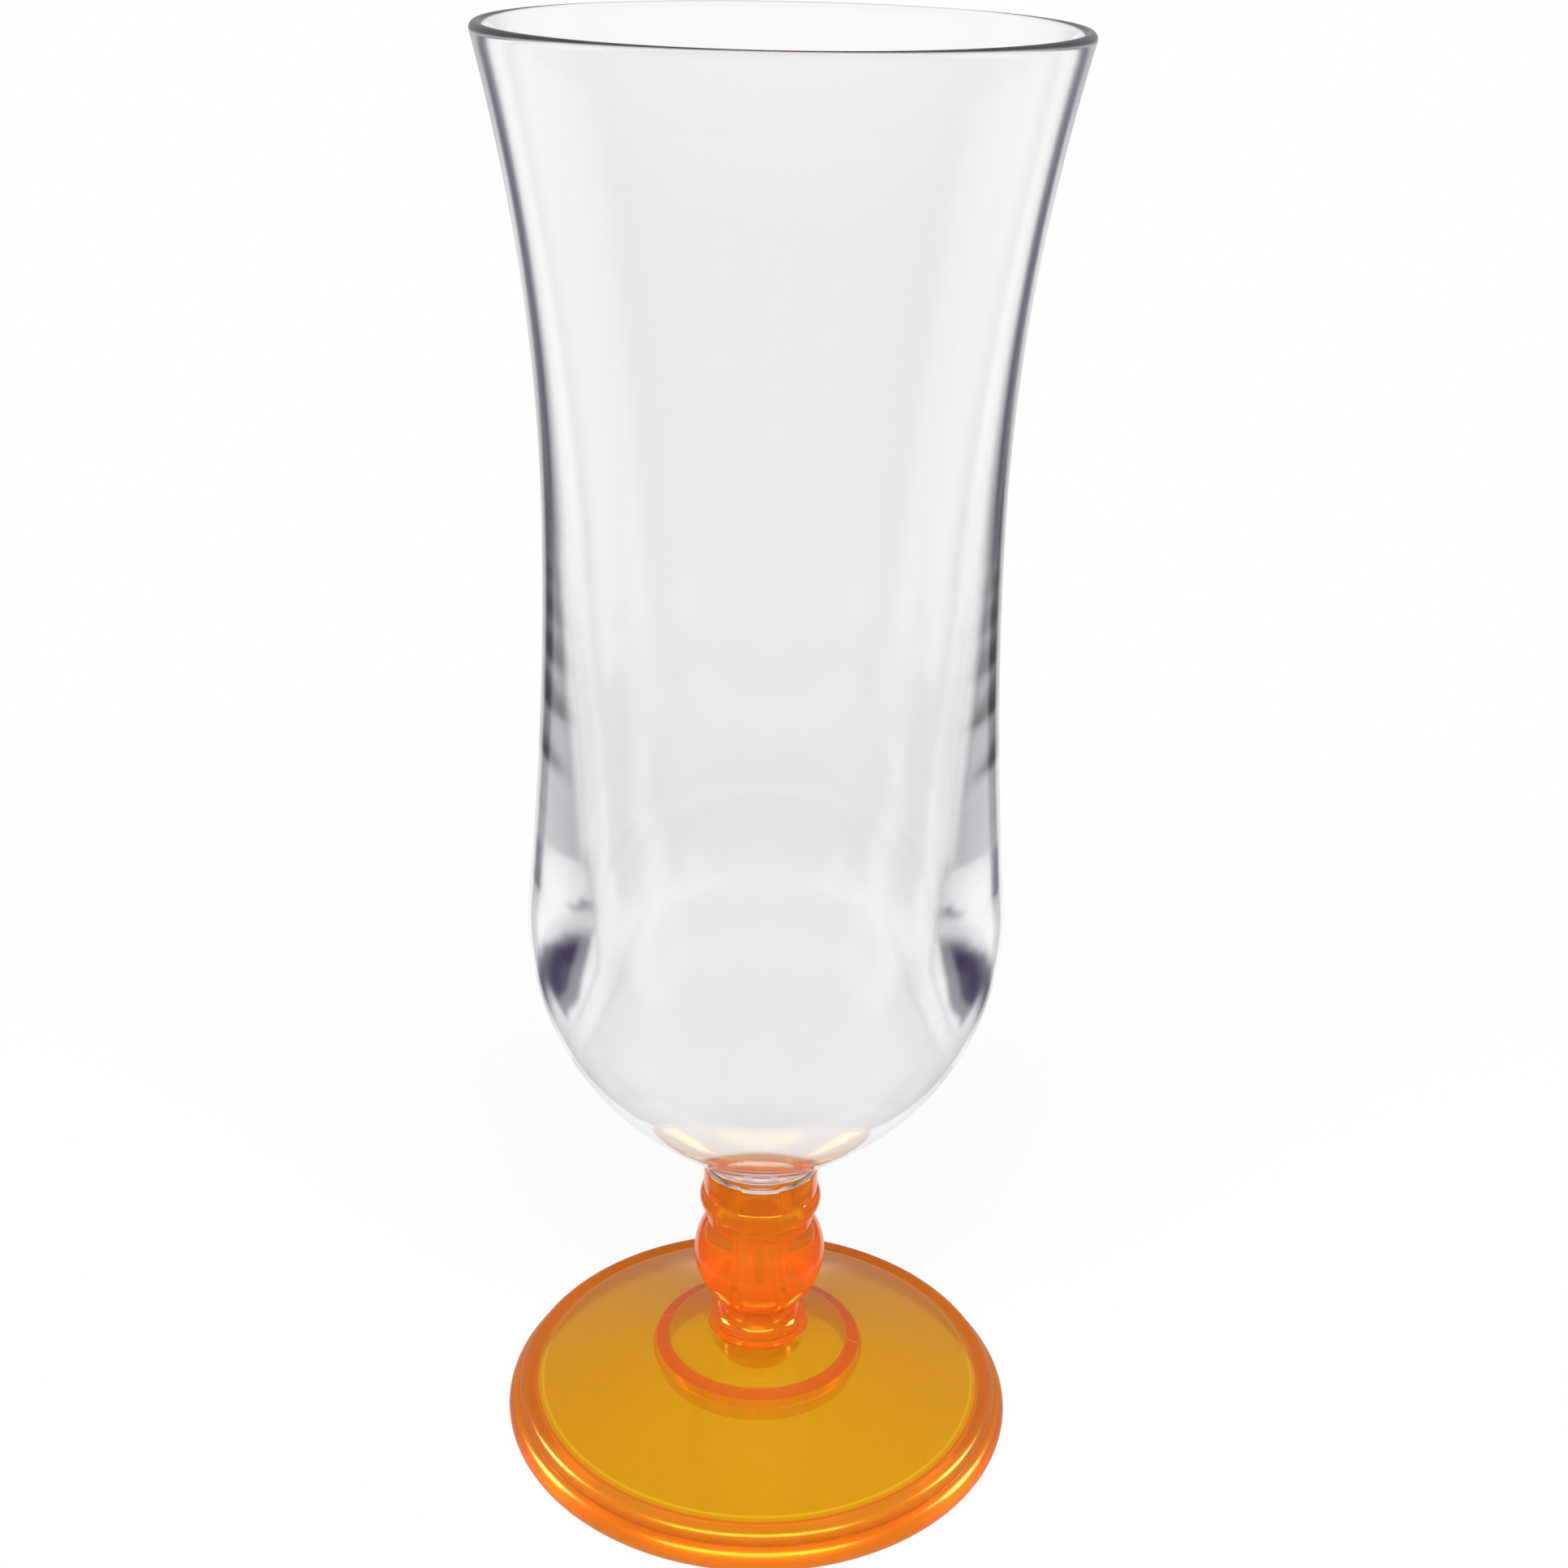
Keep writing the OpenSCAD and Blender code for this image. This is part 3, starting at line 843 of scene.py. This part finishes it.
def make_floor():
    bm = bmesh.new()
    bmesh.ops.create_circle(bm, cap_ends=True, radius=SWEEP_R, segments=SWEEP_SIDES)
    bmesh.ops.translate(bm, vec=(0, 0, -SWEEP_DROP), verts=bm.verts)
    mesh = bpy.data.meshes.new("paper_sweep")
    bm.to_mesh(mesh)
    bm.free()
    mesh.materials.append(floor_material())
    floor = bpy.data.objects.new("paper_sweep", mesh)
    bpy.context.scene.collection.objects.link(floor)
    floor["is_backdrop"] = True
    return floor


def make_world():
    """White behind the glass, a plain fill for dull surfaces, a painted dim room for reflections.
    """
    world = bpy.data.worlds.new("studio")
    bpy.context.scene.world = world
    world.use_nodes = True
    tree = world.node_tree
    tree.nodes.clear()
    path = add(tree, "ShaderNodeLightPath")
    place = add(tree, "ShaderNodeTexCoord")
    hidden = calc(tree, "MULTIPLY", mirrored(tree, path),
                  calc(tree, "SUBTRACT", 1, world_white(tree, path, place.outputs["Generated"])))
    seen = calc(tree, "MAXIMUM", path.outputs["Is Camera Ray"],
                calc(tree, "SUBTRACT", path.outputs["Is Transmission Ray"], hidden))
    fill = add(tree, "ShaderNodeBackground", {"Color": linear("#C8C8CC"), "Strength": 0.7})
    room = add(tree, "ShaderNodeBackground", {"Color": linear(PAINTED_ROOM), "Strength": 1.0})
    white = add(tree, "ShaderNodeBackground", {"Color": linear("#FFFFFF"), "Strength": 1.0})
    around = add(tree, "ShaderNodeMixShader", links={
        0: path.outputs["Is Transmission Ray"],
        1: fill.outputs[0],
        2: room.outputs[0],
    })
    mixed = add(tree, "ShaderNodeMixShader", links={
        0: seen,
        1: around.outputs[0],
        2: white.outputs[0],
    })
    add(tree, "ShaderNodeOutputWorld", links={"Surface": mixed.outputs[0]})


def lit_group(name, *objects):
    """The objects that a lamp lights."""
    group = bpy.data.collections.new(name)
    for each in objects:
        group.objects.link(each)
    return group


def softbox(name, at, aim, size, power, lit, gloss_alone=False):
    """A rectangular lamp that faces a point, and lights a group of objects, or only their gloss."""
    lamp = bpy.data.lights.new(name, "AREA")
    lamp.shape = "RECTANGLE"
    lamp.size, lamp.size_y = size
    lamp.energy = power
    made = bpy.data.objects.new(name, lamp)
    made.location = at
    made.rotation_euler = (Vector(aim) - Vector(at)).to_track_quat("-Z", "Y").to_euler()
    made.light_linking.receiver_collection = lit
    made.visible_camera = False
    made.visible_diffuse = not gloss_alone
    bpy.context.scene.collection.objects.link(made)


def make_camera():
    camera = bpy.data.objects.new("camera", bpy.data.cameras.new("camera"))
    camera.data.lens = CAMERA_LENS
    camera.data.shift_x = CAMERA_SHIFT
    camera.data.clip_start = CAMERA_NEAR
    camera.matrix_world = (Matrix.Translation(CAMERA_AT)
                           @ Matrix.Rotation(CAMERA_PITCH, 4, "X")
                           @ Matrix.Rotation(CAMERA_ROLL, 4, "Z"))
    bpy.context.scene.collection.objects.link(camera)
    bpy.context.scene.camera = camera


def clear_bowl():
    """The bowl with the key on its spigot and the tab above it on the neck."""
    key = front_block(KEY_W, SPIGOT_R - 2 * KEY_SINK, SPIGOT_R + KEY_H, -KEY_LEN, KEY_SINK)
    tab = front_block(KEY_W, NECK_R - KEY_SINK, NECK_R + TAB_H, 2 * FACE_GAP, TAB_RISE)
    inset = front_block(INSET_W, NECK_R, NECK_R + 2 * TAB_H, INSET_LOW, INSET_HIGH)
    bowl = shaped(spun(bowl_outline(), BOWL_STEPS), "UNION", key, tab)
    bowl = shaped(bowl, "DIFFERENCE", inset)
    bmesh.ops.translate(bowl, vec=(0, 0, collar_h), verts=bowl.verts)
    shown("clear_bowl", bowl, "bowl", "clear_bowl", clear_styrene(), "bowl")


def orange_stem():
    """The stem with the keyway in its socket."""
    reach = SPIGOT_R + KEY_H + KEY_GAP
    keyway = front_block(KEY_W + 2 * KEY_GAP, SPIGOT_R - 2 * KEY_SINK, reach,
                         stem_h - KEY_LEN - KEY_GAP, stem_h + KEY_SINK)
    stem = shaped(spun(stem_outline(), STEM_STEPS), "DIFFERENCE", keyway)
    bmesh.ops.translate(stem, vec=(0, 0, seat_h), verts=stem.verts)
    return shown("orange_stem", stem, "base", "orange_stem",
                 neon_styrene("neon_styrene_thick", stem_paint), "stem")


def orange_foot():
    outline = foot_outline()
    return shown("orange_foot", spun(outline + outline[:1], FOOT_STEPS), "base", "orange_foot",
                 neon_styrene("neon_styrene_thin", foot_paint), "foot")


make_camera()
floor = make_floor()
make_world()
clear_bowl()
stem = orange_stem()
foot = orange_foot()

front_lit = lit_group("base_and_paper", floor, stem, foot)
base_lit = lit_group("base_alone", stem, foot)
foot_lit = lit_group("foot_alone", foot)
softbox("front_softbox", FRONT_AT, FRONT_AIM, FRONT_SIZE, FRONT_POWER, front_lit)
softbox("front_gloss", GLOSS_AT, GLOSS_AIM, GLOSS_SIZE, GLOSS_POWER, foot_lit, gloss_alone=True)
for side in (-1, 1):
    aside, behind, high = SIDE_AT
    softbox("side_gloss", (side * aside, behind, high), SIDE_AIM, SIDE_SIZE, SIDE_POWER, base_lit,
            gloss_alone=True)

bpy.context.scene.cycles.max_bounces = BOUNCES
bpy.context.scene.cycles.glossy_bounces = GLOSSY_BOUNCES
bpy.context.scene.cycles.transmission_bounces = BOUNCES
bpy.context.scene.view_settings.view_transform = "Standard"
low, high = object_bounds()
